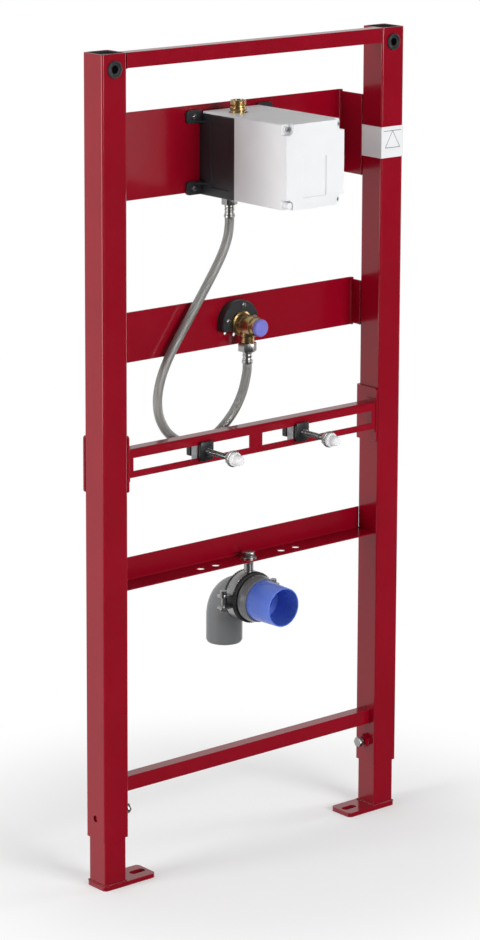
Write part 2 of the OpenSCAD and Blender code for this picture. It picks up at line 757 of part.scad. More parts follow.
// Waste: elbow with a socket that faces forward, plug, and the rubber lined clamp
drop_y = 70;
socket_y = drop_y - elbow_r;
clamp_bolt_d = 8;
rubber_t = 4;
band_t = 2.5;
band_r = socket_d / 2 + rubber_t;
module waste_elbow() {
    straight = socket_y - ring_back;
    place() color(grey) {
        translate([waste_x, socket_y, waste_z - elbow_r]) rotate([90, 0, 90]) rotate_extrude(angle = 90)
            translate([elbow_r, 0]) difference() { circle(pipe_d / 2); circle(pipe_d / 2 - pipe_wall); }
        translate([waste_x, drop_y, elbow_low]) turned([
            [pipe_d / 2 - pipe_wall, 0], [pipe_d / 2 - 1.5, 0], [pipe_d / 2, 3],
            [pipe_d / 2, waste_z - elbow_r - elbow_low], [pipe_d / 2 - pipe_wall, waste_z - elbow_r - elbow_low]]);
        translate([waste_x, socket_y, waste_z]) forward() turned([
            [plug_bore / 2, 0], [pipe_d / 2, 0], [socket_d / 2, 3], [socket_d / 2, straight],
            [ring_d / 2 - 1, straight], [ring_d / 2, straight + 1], [ring_d / 2, straight + 6],
            [ring_d / 2 - 2, straight + 14], [plug_bore / 2, straight + 14]]);
    }
}
ring_back = 5;
plug_bore = pipe_d - 2 * pipe_wall;
module waste_plug() {
    seat = 19;
    reach = plug_reach + 10;
    place() color(blue) translate([waste_x, 10, waste_z]) forward() turned([
        [0, 0], [plug_bore / 2, 0], [plug_bore / 2, seat], [plug_d / 2 + 1.5, seat], [plug_d / 2, reach],
        [plug_d / 2 - plug_wall, reach], [plug_d / 2 + 1 - plug_wall, seat + 3],
        [plug_bore / 2 - plug_wall, seat - 1], [plug_bore / 2 - plug_wall, 3], [0, 3]]);
}
module clamp_rubber() {
    side = (rubber_w - band_w) / 2 - 0.3;
    rim = band_r + band_t;
    place() color(plastic) translate([waste_x, waste_y + rubber_w / 2, waste_z]) forward() turned([
        [socket_d / 2, 0], [rim - 1, 0], [rim, 1], [rim, side], [band_r, side], [band_r, rubber_w - side],
        [rim, rubber_w - side], [rim, rubber_w - 1], [rim - 1, rubber_w], [socket_d / 2, rubber_w]]);
}
module pipe_clamp() {
    ear = 18;
    ear_z = 8;
    screw_at = band_r + ear / 2 + 3;
    shank = 14;
    nut_h = 4;
    head_h = 6;
    place() color(zinc) translate([waste_x, waste_y, waste_z]) {
        difference() {
            translate([0, band_w / 2, 0]) forward() cylinder(h = band_w, r = band_r + band_t);
            translate([0, band_w, 0]) forward() cylinder(h = 2 * band_w, r = band_r);
            translate([-2 * band_r, -band_w, -ear_z]) cube([4 * band_r, 2 * band_w, 2 * ear_z]);
        }
        for (s = [-1, 1]) {
            for (e = [-1, 1])
                translate([s * (band_r + 1), 0, e * ear_z - band_t / 2]) linear_extrude(band_t)
                    intersection() {
                        rounded(2 * ear, band_w, 4);
                        translate([(s - 1) * ear, -band_w]) square(2 * ear);
                    }
            translate([s * screw_at, 0, -shank]) {
                cylinder(h = shank + ear_z, d = 5);
                translate([0, 0, shank - ear_z - band_t / 2 - nut_h]) hex(8, nut_h);
                translate([0, 0, shank + ear_z]) cylinder(h = head_h + band_t / 2, d = 9);
            }
        }
    }
}
module clamp_stud() {
    top = waste_bracket_z + bracket_t;
    low = waste_z + band_r;
    flange_t = 2;
    place() color(zinc) translate([waste_x, waste_y, 0]) {
        difference() {
            translate([0, 0, low]) cylinder(h = waste_bracket_z - low, d = 13);
            translate([0, band_w, waste_z]) forward() cylinder(h = 2 * band_w, r = band_r + band_t);
        }
        translate([0, 0, waste_bracket_z]) cylinder(h = bracket_t, d = clamp_bolt_d);
        translate([0, 0, top]) cylinder(h = flange_t, d = 22);
        translate([0, 0, top + flange_t]) hex(15, 6.5);
    }
}

// Level mark: a thin plate round the front and the inner side of the right post
module level_mark() {
    z = frame_h - mark_drop - mark_h + 6;
    place() color(white) {
        translate([inner_w / 2 - mark_t, -mark_t, z]) cube([post + mark_t, mark_t, mark_h]);
        translate([inner_w / 2 - mark_t, 0, z]) cube([mark_t, post, mark_h]);
    }
}

left_upright();
right_upright();
top_crossbar();
bottom_crossbar();
upper_panel();
valve_panel();
waste_bracket();
left_post_cap();
right_post_cap();
left_wall_bush();
right_wall_bush();
left_foot();
right_foot();
left_foot_bolt();
right_foot_bolt();
stud_rail();
left_rail_sleeve();
right_rail_sleeve();
left_stud_holder();
left_stud_clamp();
left_stud();
left_stud_nut();
left_stud_cap();
right_stud_holder();
right_stud_clamp();
right_stud();
right_stud_nut();
right_stud_cap();
box_housing();
box_cover();
box_screws();
water_inlet();
box_outlet();
valve_base();
stop_valve();
valve_cap();
valve_outlet();
water_hose();
pipe_clamp();
clamp_rubber();
clamp_stud();
waste_elbow();
waste_plug();
level_mark();
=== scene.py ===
"""Urinal installation frame: painted steel frame with box, valve, hose, stud rail and waste elbow."""
import math

import bmesh
import bpy
from mathutils import Matrix, Vector
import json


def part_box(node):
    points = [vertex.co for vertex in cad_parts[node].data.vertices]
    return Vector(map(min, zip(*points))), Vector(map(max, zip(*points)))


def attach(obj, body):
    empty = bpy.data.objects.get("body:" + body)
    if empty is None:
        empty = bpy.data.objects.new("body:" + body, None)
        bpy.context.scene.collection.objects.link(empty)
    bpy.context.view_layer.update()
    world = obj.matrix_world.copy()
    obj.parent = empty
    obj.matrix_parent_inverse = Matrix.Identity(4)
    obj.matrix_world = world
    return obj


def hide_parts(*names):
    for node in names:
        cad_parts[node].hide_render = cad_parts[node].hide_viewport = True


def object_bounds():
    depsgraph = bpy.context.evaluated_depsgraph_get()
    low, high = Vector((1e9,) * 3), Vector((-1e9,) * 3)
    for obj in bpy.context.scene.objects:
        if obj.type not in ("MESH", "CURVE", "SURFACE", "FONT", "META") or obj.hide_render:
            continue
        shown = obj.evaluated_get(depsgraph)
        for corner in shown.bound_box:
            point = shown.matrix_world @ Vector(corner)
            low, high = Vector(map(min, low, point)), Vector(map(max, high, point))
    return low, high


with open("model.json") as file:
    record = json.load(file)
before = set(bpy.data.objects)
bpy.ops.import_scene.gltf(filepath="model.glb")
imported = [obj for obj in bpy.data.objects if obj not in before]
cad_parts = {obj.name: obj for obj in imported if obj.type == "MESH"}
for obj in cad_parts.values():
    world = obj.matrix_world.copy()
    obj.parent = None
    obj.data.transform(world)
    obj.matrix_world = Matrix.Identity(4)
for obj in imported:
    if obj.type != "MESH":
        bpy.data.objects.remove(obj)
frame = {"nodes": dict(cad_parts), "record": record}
cad_low, cad_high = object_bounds()

# Sizes below are in millimetres from the floor, midway between the feet, in the plane of
# the post fronts. The model's origin lies on the outer side of the left post.
ORIGIN = Vector((-260, 20, 1052))
TO_MODEL = Matrix.Scale(0.001, 4) @ Matrix.Translation(-ORIGIN)
FRONT, BACK, UP, DOWN = Vector((0, -1, 0)), Vector((0, 1, 0)), Vector((0, 0, 1)), Vector((0, 0, -1))
LEFT, RIGHT = Vector((-1, 0, 0)), Vector((1, 0, 0))


def model(x, y, z):
    return TO_MODEL @ Vector((x, y, z))


def extent(node):
    """Low and high corner of a CAD node, and its middle, in the sizes of this script."""
    low, high = (Vector(corner) * 1000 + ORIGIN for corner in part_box(node))
    return low, high, (low + high) / 2


# Camera
def set_camera():
    turn, dip, roll = (math.radians(a) for a in (40.525, 10.085, 0.284))
    ahead = Vector((math.sin(turn) * math.cos(dip), math.cos(turn) * math.cos(dip), -math.sin(dip)))
    right = Vector((math.cos(turn), -math.sin(turn), 0))
    up = right.cross(ahead)
    right, up = (math.cos(roll) * right + math.sin(roll) * up, -math.sin(roll) * right + math.cos(roll) * up)
    data = bpy.data.cameras.new("camera")
    data.sensor_fit = "VERTICAL"
    data.sensor_height = 36
    data.sensor_width = 36
    data.lens = 124.5
    data.shift_x, data.shift_y = -0.0234, -0.2596
    camera = bpy.data.objects.new("camera", data)
    bpy.context.scene.collection.objects.link(camera)
    camera.matrix_world = Matrix.Translation(model(-2750.6, -3225.4, 1618.2)) @ Matrix(
        (right, up, -ahead)).transposed().to_4x4()
    bpy.context.scene.camera = camera


set_camera()


# Hose route
HOSE_ROUTE = [
    (-10, 47.5, 870), (-10.3, 47.5, 860), (-13, 47.5, 844), (-21, 47.5, 825),
    (-34, 47.5, 804), (-51, 47.5, 780), (-68, 47.5, 757), (-85, 47.5, 734),
    (-102, 47.5, 711), (-117, 47.5, 688), (-128, 47.5, 664), (-133, 47.5, 638),
    (-129, 47.5, 613), (-115, 47.5, 591), (-93, 47.5, 576), (-67, 47.5, 570),
    (-41, 47.5, 574), (-19, 46.5, 588), (-3, 43, 608), (6, 38, 632),
    (9.7, 34, 657), (10, 33, 671)]
HOSE_RADIUS = 6.25


def smooth_route(points, between):
    """The route with more points between its own, on one smooth curve."""
    p = [Vector(q) for q in points]
    p = [2 * p[0] - p[1]] + p + [2 * p[-1] - p[-2]]
    out = []
    for i in range(1, len(p) - 2):
        a, b, c, d = p[i - 1:i + 3]
        for k in range(between):
            t = k / between
            out.append(0.5 * (2 * b + (c - a) * t + (2 * a - 5 * b + 4 * c - d) * t * t
                              + (3 * b - a - 3 * c + d) * t ** 3))
    out.append(p[-2])
    return out


# Finishes
class Finish:
    """A node tree under construction, with short calls for the nodes the finishes share."""

    def __init__(self, name):
        self.material = bpy.data.materials.new(name)
        self.material.use_nodes = True
        self.tree = self.material.node_tree
        self.shader = self.tree.nodes["Principled BSDF"]
        self.place = self.node("ShaderNodeTexCoord").outputs["Object"]

    def node(self, kind, **settings):
        made = self.tree.nodes.new(kind)
        for key, value in settings.items():
            setattr(made, key, value)
        return made

    def link(self, a, b):
        self.tree.links.new(a, b)

    def noise(self, scale, detail=4.0, rough=0.55, stretch=None):
        made = self.node("ShaderNodeTexNoise")
        made.inputs["Scale"].default_value = scale
        made.inputs["Detail"].default_value = detail
        made.inputs["Roughness"].default_value = rough
        source = self.place
        if stretch:
            mapping = self.node("ShaderNodeMapping")
            mapping.inputs["Scale"].default_value = stretch
            self.link(source, mapping.inputs["Vector"])
            source = mapping.outputs["Vector"]
        self.link(source, made.inputs["Vector"])
        return made.outputs["Fac"]

    def ramp(self, source, stops):
        made = self.node("ShaderNodeValToRGB")
        elements = made.color_ramp.elements
        while len(elements) < len(stops):
            elements.new(0.5)
        for element, (place, colour) in zip(elements, stops):
            element.position = place
            element.color = (*colour, 1)
        self.link(source, made.inputs["Fac"])
        return made.outputs["Color"]

    def spread(self, source, low, high, start=0.0, end=1.0):
        made = self.node("ShaderNodeMapRange")
        for key, value in (("From Min", start), ("From Max", end), ("To Min", low), ("To Max", high)):
            made.inputs[key].default_value = value
        self.link(source, made.inputs["Value"])
        return made.outputs["Result"]

    def multiply(self, a, b):
        made = self.node("ShaderNodeMath", operation="MULTIPLY")
        self.link(a, made.inputs[0])
        self.link(b, made.inputs[1])
        return made.outputs["Value"]

    def mix(self, factor, a, b):
        made = self.node("ShaderNodeMix", data_type="RGBA")
        self.link(factor, made.inputs["Factor"])
        colours = [socket for socket in made.inputs if socket.type == "RGBA"]
        for socket, value in zip(colours, (a, b)):
            if isinstance(value, bpy.types.NodeSocket):
                self.link(value, socket)
            else:
                socket.default_value = (*value, 1)
        return [socket for socket in made.outputs if socket.type == "RGBA"][0]

    def edges(self, width):
        """Mask for the painted edge highlights: bright on edges and corners, dark on flats."""
        bevel = self.node("ShaderNodeBevel", samples=6)
        bevel.inputs["Radius"].default_value = width
        geometry = self.node("ShaderNodeNewGeometry")
        dot = self.node("ShaderNodeVectorMath", operation="DOT_PRODUCT")
        self.link(bevel.outputs["Normal"], dot.inputs[0])
        self.link(geometry.outputs["Normal"], dot.inputs[1])
        return self.spread(dot.outputs["Value"], 1.0, 0.0, 0.75, 0.98)

    def bump(self, height, distance, strength=0.5, round_edge=None):
        made = self.node("ShaderNodeBump")
        made.inputs["Strength"].default_value = strength
        made.inputs["Distance"].default_value = distance
        self.link(height, made.inputs["Height"])
        if round_edge:
            bevel = self.node("ShaderNodeBevel", samples=6)
            bevel.inputs["Radius"].default_value = round_edge
            self.link(bevel.outputs["Normal"], made.inputs["Normal"])
        self.link(made.outputs["Normal"], self.shader.inputs["Normal"])

    def set(self, **values):
        for key, value in values.items():
            socket = self.shader.inputs[key.replace("_", " ")]
            if isinstance(value, bpy.types.NodeSocket):
                self.link(value, socket)
            else:
                socket.default_value = value


def ruby_paint():
    """Gloss powder coat: even deep red, a faint orange peel, and a patchy painted highlight that lightens the red on
    the edges.
    """
    f = Finish("ruby_powder_coat")
    base = f.ramp(f.noise(9, 3), [(0.3, (0.222, 0.0004, 0.0085)), (0.7, (0.248, 0.0005, 0.0105))])
    # Painted highlight: edges and corners are lightened towards a brighter red, in patches.
    paint_highlight_mask = f.multiply(f.edges(0.0010), f.spread(f.noise(160, 5), 0.05, 0.6, 0.4, 0.7))
    colour = f.mix(paint_highlight_mask, base, (0.33, 0.012, 0.025))
    f.set(Base_Color=colour, Roughness=f.spread(f.noise(35, 4), 0.13, 0.24), Coat_Weight=0.25)
    f.shader.inputs["Coat Roughness"].default_value = 0.07
    f.shader.inputs["Specular IOR Level"].default_value = 0.42
    f.bump(f.noise(520, 2), 0.00006, 0.3, 0.0008)
    return f.material


def moulding(name, low, high, rough, grain=900, fine=0.00004, edge=0.0005, shine=0.5):
    """Moulded plastic or rubber: soft cloud in the colour, paler edges as a patchy painted highlight, fine grain."""
    f = Finish(name)
    colour = f.ramp(f.noise(14, 4), [(0.3, low), (0.7, high)])
    # Painted highlight: edges and corners are made paler than the moulding's own colour, in patches.
    moulding_highlight_mask = f.multiply(f.edges(0.0006), f.spread(f.noise(210, 4), 0.1, 0.9, 0.35, 0.7))
    moulding_highlighted = f.mix(moulding_highlight_mask, colour, tuple(min(0.92, c * 1.2 + 0.014) for c in high))
    f.set(Base_Color=moulding_highlighted, Roughness=f.spread(f.noise(60, 3), rough - 0.05, rough + 0.06))
    f.shader.inputs["Specular IOR Level"].default_value = shine
    f.bump(f.noise(grain, 3), fine, 0.35, edge)
    return f.material


def metal(name, low, high, dull, rough, stretch=(1, 1, 1)):
    """Plated or turned metal: drifting tone, duller spots, brighter edges as a painted highlight, fine tool lines."""
    f = Finish(name)
    colour = f.ramp(f.noise(26, 5, stretch=stretch), [(0.32, low), (0.68, high)])
    spotted = f.mix(f.spread(f.noise(130, 6), 0.0, 0.55, 0.52, 0.78), colour, dull)
    # Painted highlight: edges and corners are made a quarter brighter than the metal's own colour.
    bright = f.mix(f.edges(0.0004), spotted, tuple(min(0.95, c * 1.25) for c in high))
    f.set(Base_Color=bright, Metallic=1.0,
          Roughness=f.spread(f.noise(90, 4, stretch=stretch), rough - 0.07, rough + 0.1))
    f.bump(f.noise(420, 3, stretch=stretch), 0.00005, 0.3, 0.0003)
    return f.material


def braid():
    """Crossed strands that follow the hose's own coordinates, along and round."""
    f = Finish("hose_braid")
    uv = f.node("ShaderNodeUVMap", uv_map="hose")
    strands = []
    for turn in (1, -1):
        mapping = f.node("ShaderNodeMapping")
        mapping.inputs["Rotation"].default_value = (0, 0, turn * math.radians(45))
        f.link(uv.outputs["UV"], mapping.inputs["Vector"])
        wave = f.node("ShaderNodeTexWave", wave_type="BANDS", bands_direction="X", wave_profile="SIN")
        wave.inputs["Scale"].default_value = 7
        wave.inputs["Distortion"].default_value = 0.4
        wave.inputs["Detail Scale"].default_value = 3
        f.link(mapping.outputs["Vector"], wave.inputs["Vector"])
        strands.append(wave.outputs["Fac"])
    over = f.node("ShaderNodeMath", operation="MAXIMUM")
    f.link(strands[0], over.inputs[0])
    f.link(strands[1], over.inputs[1])
    plait = f.ramp(over.outputs["Value"], [(0.35, (0.035, 0.036, 0.036)), (0.9, (0.50, 0.50, 0.48))])
    drift = f.spread(f.noise(18, 3), 0.0, 0.4, 0.35, 0.7)
    colour = f.mix(drift, plait, (0.17, 0.17, 0.16))
    f.set(Base_Color=colour, Metallic=0.8, Roughness=f.spread(over.outputs["Value"], 0.6, 0.34))
    f.bump(over.outputs["Value"], 0.0005, 0.9)
    return f.material


SLOTS = {
    "frame_paint": ruby_paint(),
    "black_plastic": moulding("black_moulding", (0.011, 0.012, 0.014), (0.019, 0.020, 0.023), 0.40),
    "white_plastic": moulding("white_moulding", (0.66, 0.67, 0.68), (0.71, 0.72, 0.73), 0.36, shine=0.35),
    "cap_plastic": moulding("cap_moulding", (0.13, 0.13, 0.46), (0.17, 0.17, 0.55), 0.33),
    "zinc_steel": metal("bright_zinc", (0.30, 0.30, 0.30), (0.50, 0.50, 0.49), (0.16, 0.16, 0.16), 0.28),
    "plain_steel": metal("strip_steel", (0.28, 0.28, 0.29), (0.44, 0.44, 0.45), (0.15, 0.15, 0.15), 0.33, (1, 1, 6)),
    "brass": metal("turned_brass", (0.36, 0.24, 0.10), (0.52, 0.37, 0.17), (0.16, 0.11, 0.06), 0.27),
    "hose_braid": braid(),
    "rubber": moulding("ribbed_rubber", (0.012, 0.012, 0.013), (0.024, 0.024, 0.025), 0.58, 300, 0.0001),
    "pipe_plastic": moulding("grey_pipe", (0.125, 0.13, 0.133), (0.150, 0.156, 0.16), 0.20, 500, 0.00003),
    "plug_plastic": moulding("blue_plug", (0.075, 0.15, 0.60), (0.10, 0.19, 0.68), 0.27, 500, 0.00003),
}


# Mesh work, in millimetres
def finish_piece(bm, name, slot, body, *nodes, smooth=28, doubles=0.002):
    """Ends a piece made in millimetres: merged, normals outwards, placed, shaded and riding."""
    bmesh.ops.remove_doubles(bm, verts=bm.verts, dist=doubles)
    bmesh.ops.recalc_face_normals(bm, faces=bm.faces)
    bmesh.ops.transform(bm, matrix=TO_MODEL, verts=bm.verts)
    limit = math.radians(smooth)
    for face in bm.faces:
        face.smooth = True
    for edge in bm.edges:
        edge.smooth = len(edge.link_faces) == 2 and edge.calc_face_angle(0) < limit
    mesh = bpy.data.meshes.new(name)
    bm.to_mesh(mesh)
    bm.free()
    piece = bpy.data.objects.new(name, mesh)
    bpy.context.scene.collection.objects.link(piece)
    mesh.materials.append(SLOTS[slot])
    if nodes:
        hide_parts(*nodes)
    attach(piece, body)
    return piece


def stand(verts, bm, start, along, turn=0.0):
    """Moves a shape made round the Z axis at zero so that it starts at a point and runs along."""
    place = Matrix.Translation(start) @ along.to_track_quat("Z", "Y").to_matrix().to_4x4()
    bmesh.ops.transform(bm, matrix=place @ Matrix.Rotation(turn, 4, "Z"), verts=verts)


def rounded_profile(points, radius, steps=4):
    """A profile of radius and height with its inner corners rounded and held by close points."""
    p = [Vector(q) for q in points]
    out = [p[0]]
    for before, corner, after in zip(p, p[1:], p[2:]):
        a, b = before - corner, after - corner
        cut = min(radius, a.length * 0.4, b.length * 0.4)
        start, end = corner + a.normalized() * cut, corner + b.normalized() * cut
        for k in range(steps + 1):
            t = k / steps
            out.append((1 - t) ** 2 * start + 2 * t * (1 - t) * corner + t * t * end)
    return out + [p[-1]]


def lathe(bm, points, start, along, steps=56, radius=0.4):
    """Turned shape from points of radius and height, with rounded corners."""
    profile = rounded_profile(points, radius)
    verts = [bm.verts.new((q.x, 0, q.y)) for q in profile]
    edges = [bm.edges.new(pair) for pair in zip(verts, verts[1:])]
    known = set(bm.verts) - set(verts)
    bmesh.ops.spin(bm, geom=verts + edges, cent=(0, 0, 0), axis=(0, 0, 1), angle=2 * math.pi,
                   steps=steps, use_merge=True)
    stand([v for v in bm.verts if v not in known], bm, start, along)


def hexagon(bm, across, length, start, along, turn=0.0, chamfer=0.5):
    made = bmesh.ops.create_cone(bm, cap_ends=True, segments=6, radius1=across / math.sqrt(3),
                                 radius2=across / math.sqrt(3), depth=length)["verts"]
    bmesh.ops.translate(bm, vec=(0, 0, length / 2), verts=made)
    edges = list({e for v in made for e in v.link_edges})
    made = set(made)
    bevelled = bmesh.ops.bevel(bm, geom=edges, offset=chamfer, segments=2, profile=0.5, affect="EDGES",
                               material=-1)["verts"]
    stand([v for v in made | set(bevelled) if v.is_valid], bm, start, along, turn)


def block(bm, low, high, round_off=0.6, place=None):
    low, high = Vector(low), Vector(high)
    made = bmesh.ops.create_cube(bm, size=1)["verts"]
    size = high - low
    bmesh.ops.scale(bm, vec=size, verts=made)
    edges = list({e for v in made for e in v.link_edges})
    bevelled = bmesh.ops.bevel(bm, geom=edges, offset=min(round_off, min(size) * 0.45), segments=2, profile=0.5,
                               affect="EDGES", material=-1)["verts"]
    shape = [v for v in set(made) | set(bevelled) if v.is_valid]
    bmesh.ops.translate(bm, vec=(low + high) / 2, verts=shape)
    if place:
        bmesh.ops.transform(bm, matrix=place, verts=shape)


def thread(bm, radius, pitch, length, start, along, steps=14):
    """Screw thread: one tooth spun along a helix, with a core that closes both ends."""
    turns = int(length / pitch)
    core = radius - 0.6 * pitch
    tooth = [bm.verts.new((r, 0, h)) for r, h in ((core, 0), (radius, pitch / 2), (core, pitch))]
    edges = [bm.edges.new(pair) for pair in zip(tooth, tooth[1:])]
    known = set(bm.verts) - set(tooth)
    bmesh.ops.spin(bm, geom=tooth + edges, cent=(0, 0, 0), axis=(0, 0, 1), dvec=(0, 0, pitch / steps),
                   angle=2 * math.pi * (turns - 1), steps=steps * (turns - 1), use_merge=False)
    bmesh.ops.create_cone(bm, cap_ends=True, segments=20, radius1=core + 0.05, radius2=core + 0.05, depth=length,
                          matrix=Matrix.Translation((0, 0, length / 2)))
    stand([v for v in bm.verts if v not in known], bm, start, along)


def weld(bm, start, end, radius=1.5, pitch=2.6):
    """Row of overlapping ripples, as a weld run leaves them."""
    start, end = Vector(start), Vector(end)
    count = max(2, round((end - start).length / pitch))
    for k in range(count + 1):
        spot = start.lerp(end, k / count)
        grown = radius * (1 + 0.12 * math.sin(7.3 * k) * math.cos(2.1 * k))
        bmesh.ops.create_icosphere(bm, subdivisions=2, radius=grown, matrix=Matrix.Translation(spot))


def dress_cad_nodes():
    """Every CAD node takes the finish of its slot; those that stay shown keep it."""
    for part in frame["record"]["subparts"]:
        node = frame["nodes"][part["node"]]
        node.data.materials.clear()
        node.data.materials.append(SLOTS[part["material_slot"]])


def make_hose():
    route = smooth_route(HOSE_ROUTE, 12)
    bm = bmesh.new()
    uv = bm.loops.layers.uv.new("hose")
    sides, along, rings = 24, 0.0, []
    for i, point in enumerate(route):
        if i in (0, len(route) - 1):
            ahead = Vector((0, 0, -1 if i == 0 else 1))
        else:
            ahead = (route[i + 1] - route[i - 1]).normalized()
        out = ahead.cross(Vector((0, 1, 0))).normalized()
        side = out.cross(ahead)
        along += (point - route[i - 1]).length if i else 0
        ring = bmesh.ops.create_circle(bm, segments=sides, radius=HOSE_RADIUS)["verts"]
        turn = Matrix((out, side, -ahead)).transposed().to_4x4()
        bmesh.ops.transform(bm, matrix=Matrix.Translation(point) @ turn, verts=ring)
        rings.append((ring, along))
    round_length = 2 * math.pi * HOSE_RADIUS
    for (ring, start), (following, end) in zip(rings, rings[1:]):
        for k in range(sides):
            a, b = k, (k + 1) % sides
            face = bm.faces.new((ring[a], ring[b], following[b], following[a]))
            spots = ((k, start), (k + 1, start), (k + 1, end), (k, end))
            for loop, (turn, length) in zip(face.loops, spots):
                loop[uv].uv = (turn / sides * round_length / 40, length / 40)
    hose = finish_piece(bm, "braided_hose", "hose_braid", "frame", "water_hose", doubles=0.0001)


def hose_end(name, node, nut_across, nut_length):
    """Crimped steel sleeve with a bead at its mouth and pressed grooves, under a chamfered nut."""
    low, high, mid = extent(node)
    sleeve = high.z - low.z - nut_length
    r = HOSE_RADIUS + 0.4
    rings = [(r, 5), (r, 7), (r - 0.5, 8), (r - 0.5, 9.5), (r, 10.5), (r, 12), (r - 0.5, 13), (r - 0.5, 14), (r, 15)]
    bm = bmesh.new()
    lathe(bm, [(0, 0), (r, 0), (r + 0.8, 1), (r + 0.8, 4)] + rings + [(r, sleeve), (0, sleeve)],
          (mid.x, mid.y, low.z), UP, radius=0.3)
    hexagon(bm, nut_across, nut_length, (mid.x, mid.y, high.z - nut_length), UP, chamfer=0.8)
    finish_piece(bm, name, "zinc_steel", "frame", node)


def make_stud_set(side):
    body = side + "_stud_set"
    low, high, mid = extent(side + "_stud")
    bm = bmesh.new()
    thread(bm, 4, 1.25, high.y - low.y, (mid.x, high.y, mid.z), FRONT)
    finish_piece(bm, side + "_threaded_stud", "zinc_steel", body, side + "_stud")

    nut_low, nut_high, _ = extent(side + "_stud_nut")
    bm = bmesh.new()
    hexagon(bm, 17, 6, (mid.x, nut_high.y, mid.z), FRONT)
    lathe(bm, [(4, 4.4), (11, 4.4), (11, 8), (4, 8)], (mid.x, nut_high.y, mid.z), FRONT, radius=0.7)
    finish_piece(bm, side + "_collar_nut", "zinc_steel", body, side + "_stud_nut")

    bm = bmesh.new()
    lathe(bm, [(4.2, 0), (9.5, 0), (9.5, 4.2), (7.6, 5), (7, 6.5), (7, 12), (5.6, 15), (2.4, 16), (0, 16)],
          (mid.x, nut_low.y, mid.z), FRONT, radius=0.8)
    finish_piece(bm, side + "_white_cap", "white_plastic", body, side + "_stud_cap")

    plate_low, plate_high, plate = extent(side + "_stud_holder")
    back, guide = plate_low.y + 5, 8.35
    bm = bmesh.new()
    block(bm, plate_low, (plate_high.x, back, plate_high.z), 1.2)
    block(bm, (plate.x - 7, back - 0.5, plate.z - guide), (plate.x + 7, back + 2.8, plate.z + guide), 0.3)
    block(bm, (plate.x - 10, plate_high.y - 9, plate.z - 10), (plate.x + 10, plate_high.y, plate.z + 10), 1.4)
    for shift in (-7.5, 7.5):
        block(bm, (plate.x - 9, plate_low.y - 0.8, plate.z + shift - 1), (plate.x + 9, back, plate.z + shift + 1), 0.4)
    finish_piece(bm, side + "_guide_block", "black_plastic", body, side + "_stud_holder")


def make_foot_bolt(side):
    low, high, mid = extent(side + "_foot_bolt")
    inwards = RIGHT if side == "left" else LEFT
    tip = low.x if side == "left" else high.x
    head = 5.5
    shank = high.x - low.x - head
    bm = bmesh.new()
    thread(bm, 4, 1.25, shank, (tip, mid.y, mid.z), inwards)
    at = Vector((tip, mid.y, mid.z)) + inwards * shank
    hexagon(bm, 13, head, at, inwards, turn=math.radians(30), chamfer=0.6)
    finish_piece(bm, side + "_hexagon_bolt", "zinc_steel", "frame", side + "_foot_bolt")


def make_box_details():
    """Ear screws and cover screws in the corner notches, each with a cross recess painted on as dark shade, and the
    brass inlet.
    """
    low, high, _ = extent("box_screws")
    heads, recess = bmesh.new(), bmesh.new()
    for x in (low.x + 4, high.x - 4):
        for z in (low.z + 4, high.z - 4):
            lathe(heads, [(0, -4), (2, -4), (2, 0), (4, 0), (4, 1.4), (2.6, 2.5), (0, 2.5)], (x, low.y + 2.5, z), FRONT)
            painted_recess_shade(recess, (x, low.y, z), 5)
    finish_piece(heads, "ear_screws", "zinc_steel", "frame", "box_screws")

    low, high, _ = extent("box_cover")
    inset, boss_front = 6.8, low.y + 7
    heads = bmesh.new()
    for x in (low.x + inset, high.x - inset):
        for z in (low.z + inset, high.z - inset):
            if (x < low.x + 10) and (z < low.z + 10):
                continue
            lathe(heads, [(0, -2), (3.3, -2), (3.3, 1.2), (2.4, 1.9), (0, 1.9)], (x, boss_front, z), FRONT)
            painted_recess_shade(recess, (x, boss_front - 1.9, z), 4)
    finish_piece(heads, "cover_screws", "zinc_steel", "frame")
    # The dark crosses are painted shade for the screw recesses, given the black rubber finish.
    finish_piece(recess, "screw_recess_painted_shade", "rubber", "frame")

    low, high, mid = extent("water_inlet")
    bm = bmesh.new()
    ridges = [(10.6 - 0.5 * (k % 2), 13.4 + 0.45 * k) for k in range(11)]
    lathe(bm, [(7.5, 0), (11, 0), (11, 3.4), (10.5, 4), (10.5, 5), (11, 5.6), (11, 9), (9.5, 10), (9.5, 12.6)]
          + ridges + [(9.9, 19), (7.5, 19), (7.5, 0)], (mid.x, mid.y, low.z), UP, radius=0.15)
    finish_piece(bm, "brass_inlet_union", "brass", "frame", "water_inlet")


# Painted shade: the recess is not cut; a thin dark cross laid on the head face stands in for the shade inside it.
def painted_recess_shade(bm, centre, size):
    x, y, z = centre
    for wide, tall in ((size, 0.9), (0.9, size)):
        block(bm, (x - wide / 2, y - 0.04, z - tall / 2), (x + wide / 2, y + 0.5, z + tall / 2), 0.1)


